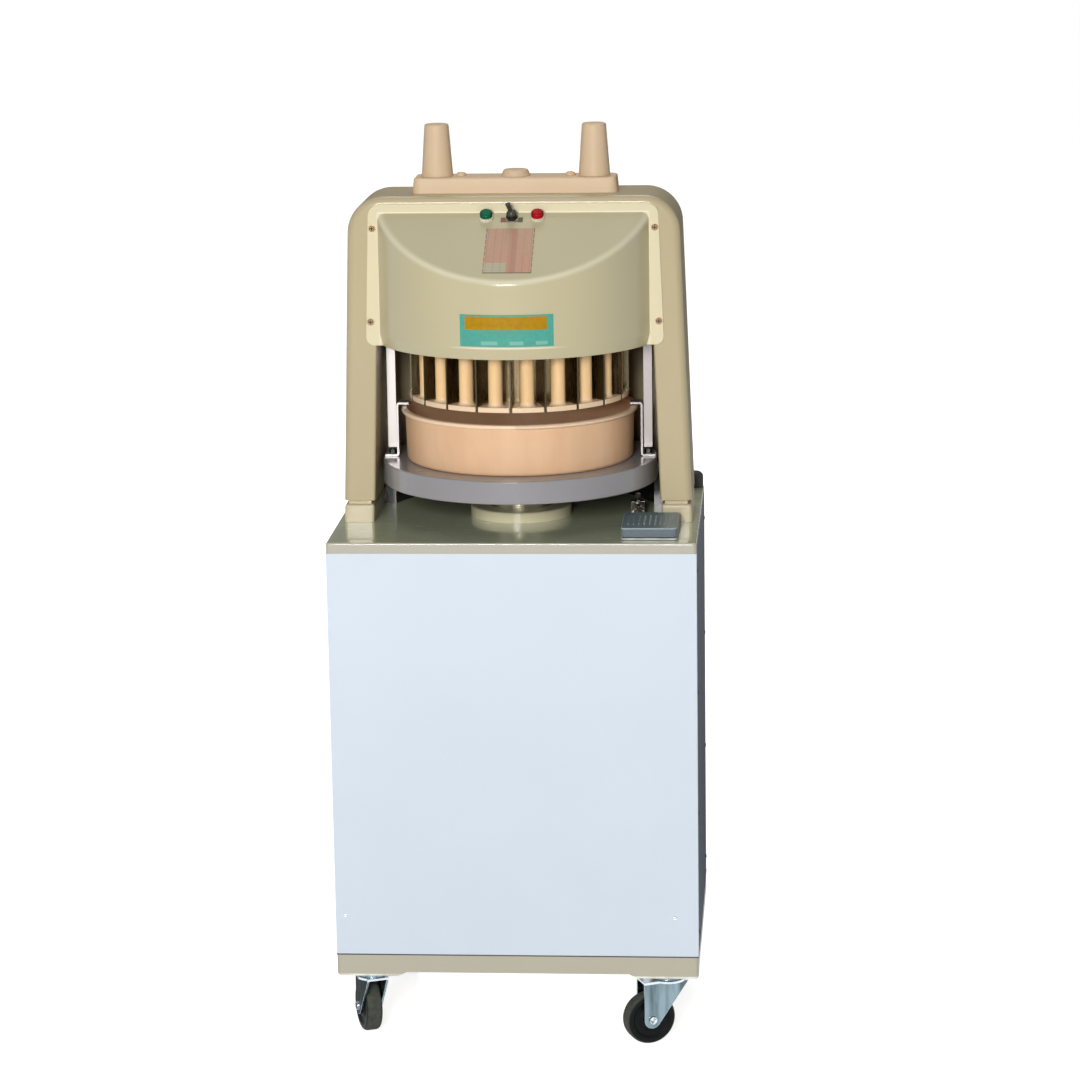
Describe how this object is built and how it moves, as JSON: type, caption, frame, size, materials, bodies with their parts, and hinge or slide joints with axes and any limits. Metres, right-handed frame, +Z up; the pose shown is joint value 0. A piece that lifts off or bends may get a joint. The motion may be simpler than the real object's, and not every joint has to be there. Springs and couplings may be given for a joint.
{
  "type": "dough divider",
  "caption": "Floor-standing round dough divider: cabinet on castors, arched cutter head with lamps and a switch, ram-lifted table with a dough pan, and a foot switch.",
  "frame": {"origin": "on the floor under the axis of the ram, at the centre of the cabinet", "axes": "+X to the machine's right as seen from the front, +Y to the back, +Z up"},
  "size_m": [0.52, 0.422, 1.31],
  "materials": {
    "beige_paint": "gloss",
    "peach_paint": "gloss",
    "white_sheet": "satin",
    "grey_sheet": "satin",
    "table_paint": "gloss",
    "bright_steel": "polished",
    "knife_steel": "polished",
    "ram_steel": "ground",
    "zinc": "zinc plated",
    "dark_steel": "blackened",
    "cast_iron": "painted casting",
    "black_rubber": "matte",
    "amber_resin": "satin",
    "peach_resin": "satin",
    "white_nylon": "matte",
    "cream_resin": "gloss",
    "green_lens": "clear",
    "red_lens": "clear",
    "black_plastic": "matte",
    "foot_switch_paint": "hammered",
    "brass": "plain"
  },
  "bodies": {
    "cabinet": {"base_frame": "beige_paint", "cabinet_posts": "beige_paint", "front_panel": "white_sheet", "rear_panel": "grey_sheet", "left_side_panel": "grey_sheet", "right_side_panel": "grey_sheet", "cable_gland": "black_plastic", "top_plate": "beige_paint", "arch_frame": "beige_paint", "column_feet": "beige_paint", "front_cover": "beige_paint", "rear_cover": "beige_paint", "cover_screws": "zinc", "lamp_bezels": "cream_resin", "green_lens": "green_lens", "red_lens": "red_lens", "switch_body": "black_plastic", "yoke": "peach_paint", "rod_covers": "peach_paint", "centre_cap": "peach_paint", "yoke_bolts": "peach_paint", "guide_bushes": "brass", "knife_set": "knife_steel", "knife_carrier": "knife_steel", "head_pillars": "knife_steel", "bar_guides": "white_nylon", "ram_collar": "beige_paint", "cylinder_barrel": "cast_iron", "oil_tank": "beige_paint", "motor": "cast_iron", "pump": "cast_iron", "pressure_pipe": "dark_steel", "control_box": "grey_sheet", "limit_switch": "brass", "caster_plates": "zinc", "rear_buffers": "black_rubber"},
    "toggle": {"toggle_lever": "black_plastic"},
    "table": {"table": "table_paint", "ram": "ram_steel", "pan_hooks": "bright_steel", "bar_studs": "dark_steel", "guide_bars": "bright_steel"},
    "pan": {"pan": "peach_resin"},
    "presser": {"presser_plate": "cast_iron", "inner_blocks": "amber_resin", "middle_blocks": "amber_resin", "outer_blocks": "amber_resin", "guide_rods": "ram_steel", "presser_springs": "dark_steel"},
    "foot_switch": {"foot_switch_base": "foot_switch_paint", "treadle_pin": "ram_steel"},
    "treadle": {"treadle": "foot_switch_paint"},
    "front_left_fork": {"front_left_fork": "zinc"},
    "front_left_wheel": {"front_left_wheel": "black_rubber"},
    "front_right_fork": {"front_right_fork": "zinc"},
    "front_right_wheel": {"front_right_wheel": "black_rubber"},
    "rear_left_fork": {"rear_left_fork": "zinc"},
    "rear_left_wheel": {"rear_left_wheel": "black_rubber"},
    "rear_right_fork": {"rear_right_fork": "zinc"},
    "rear_right_wheel": {"rear_right_wheel": "black_rubber"}
  },
  "joints": [
    {"name": "table_lift", "type": "slide", "parent": "cabinet", "child": "table", "axis": [0, 0, 1], "range_m": [0, 0.08]},
    {"name": "pan_slide", "type": "slide", "parent": "table", "child": "pan", "axis": [0, -1, 0], "range_m": [0, 0.36]},
    {"name": "presser_slide", "type": "slide", "parent": "cabinet", "child": "presser", "axis": [0, 0, 1], "range_m": [0, 0.06], "stiffness_N_per_m": 3000, "springref_m": -0.02, "deforming": ["presser_springs"]},
    {"name": "toggle_tip", "type": "hinge", "parent": "cabinet", "child": "toggle", "pos_m": [0, -0.08405, 1.1912], "axis": [0, 0.8625, 0.506], "range_deg": [0, 34]},
    {"name": "foot_switch_pull", "type": "slide", "parent": "cabinet", "child": "foot_switch", "axis": [0, -1, 0], "range_m": [0, 0.2]},
    {"name": "treadle_tip", "type": "hinge", "parent": "foot_switch", "child": "treadle", "pos_m": [0.193, -0.085, 0.7546], "axis": [1, 0, 0], "range_deg": [0, 1.2], "stiffness_Nm_per_rad": 1, "springref_deg": -5.73},
    {"name": "front_left_swivel", "type": "hinge", "parent": "cabinet", "child": "front_left_fork", "pos_m": [-0.214, -0.159, 0.0955], "axis": [0, 0, 1], "continuous": true},
    {"name": "front_left_roll", "type": "hinge", "parent": "front_left_fork", "child": "front_left_wheel", "pos_m": [-0.22524, -0.13118, 0.0375], "axis": [-0.9272, -0.3746, 0], "continuous": true},
    {"name": "front_right_swivel", "type": "hinge", "parent": "cabinet", "child": "front_right_fork", "pos_m": [0.214, -0.159, 0.0955], "axis": [0, 0, 1], "continuous": true},
    {"name": "front_right_roll", "type": "hinge", "parent": "front_right_fork", "child": "front_right_wheel", "pos_m": [0.18659, -0.1712, 0.0375], "axis": [0.4067, -0.9135, 0], "continuous": true},
    {"name": "rear_left_swivel", "type": "hinge", "parent": "cabinet", "child": "rear_left_fork", "pos_m": [-0.214, 0.159, 0.0955], "axis": [0, 0, 1], "continuous": true},
    {"name": "rear_left_roll", "type": "hinge", "parent": "rear_left_fork", "child": "rear_left_wheel", "pos_m": [-0.199, 0.13302, 0.0375], "axis": [0.866, 0.5, 0], "continuous": true},
    {"name": "rear_right_swivel", "type": "hinge", "parent": "cabinet", "child": "rear_right_fork", "pos_m": [0.214, 0.159, 0.0955], "axis": [0, 0, 1], "continuous": true},
    {"name": "rear_right_roll", "type": "hinge", "parent": "rear_right_fork", "child": "rear_right_wheel", "pos_m": [0.20624, 0.13002, 0.0375], "axis": [0.9659, -0.2588, 0], "continuous": true}
  ]
}
